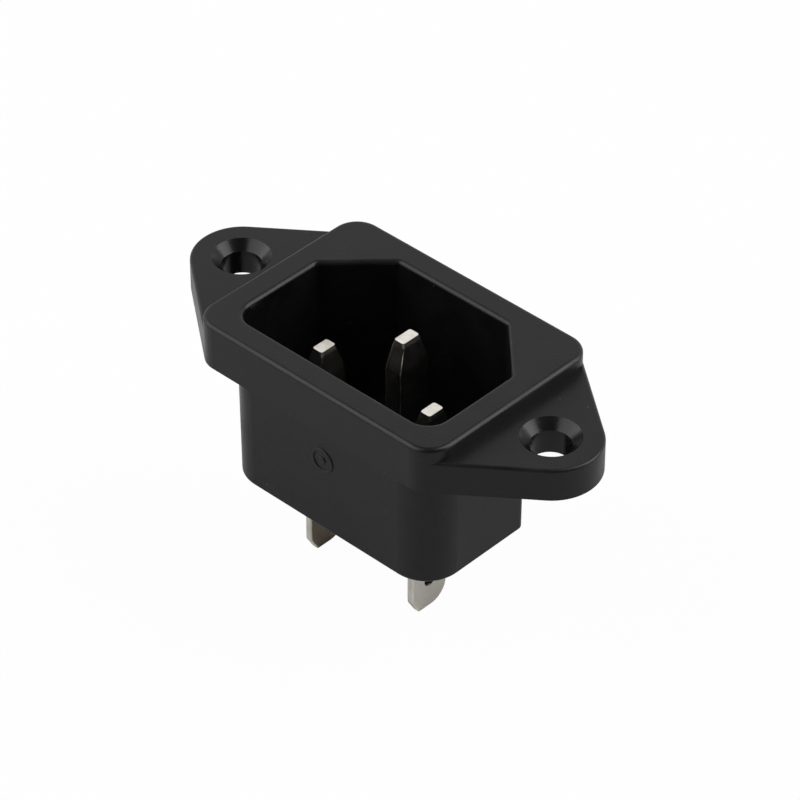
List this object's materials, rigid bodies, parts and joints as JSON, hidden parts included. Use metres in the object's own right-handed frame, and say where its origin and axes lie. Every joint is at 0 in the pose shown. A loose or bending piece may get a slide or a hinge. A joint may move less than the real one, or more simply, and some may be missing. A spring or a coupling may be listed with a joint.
{
  "type": "panel mount mains inlet socket",
  "caption": "Screw-mounted C14 appliance inlet: black moulded housing with two countersunk ears and a keyed socket cavity, holding line, neutral and earth contacts with rear tabs",
  "frame": {"origin": "Centre of the flange's rear face, midway between the two screw holes, in the plane that seats on the panel", "axes": "+X along the line of the screw holes, +Y across the flange towards the earth pin, +Z out of the socket's mouth, away from the panel"},
  "size_m": [0.05, 0.0224, 0.0283],
  "materials": {
    "black_plastic": "satin black moulded thermoplastic with a fine grain",
    "nickel_plate": "bright nickel plating over brass"
  },
  "bodies": {
    "root": {"housing": "black_plastic", "line_contact": "nickel_plate", "neutral_contact": "nickel_plate", "earth_contact": "nickel_plate"}
  },
  "joints": []
}
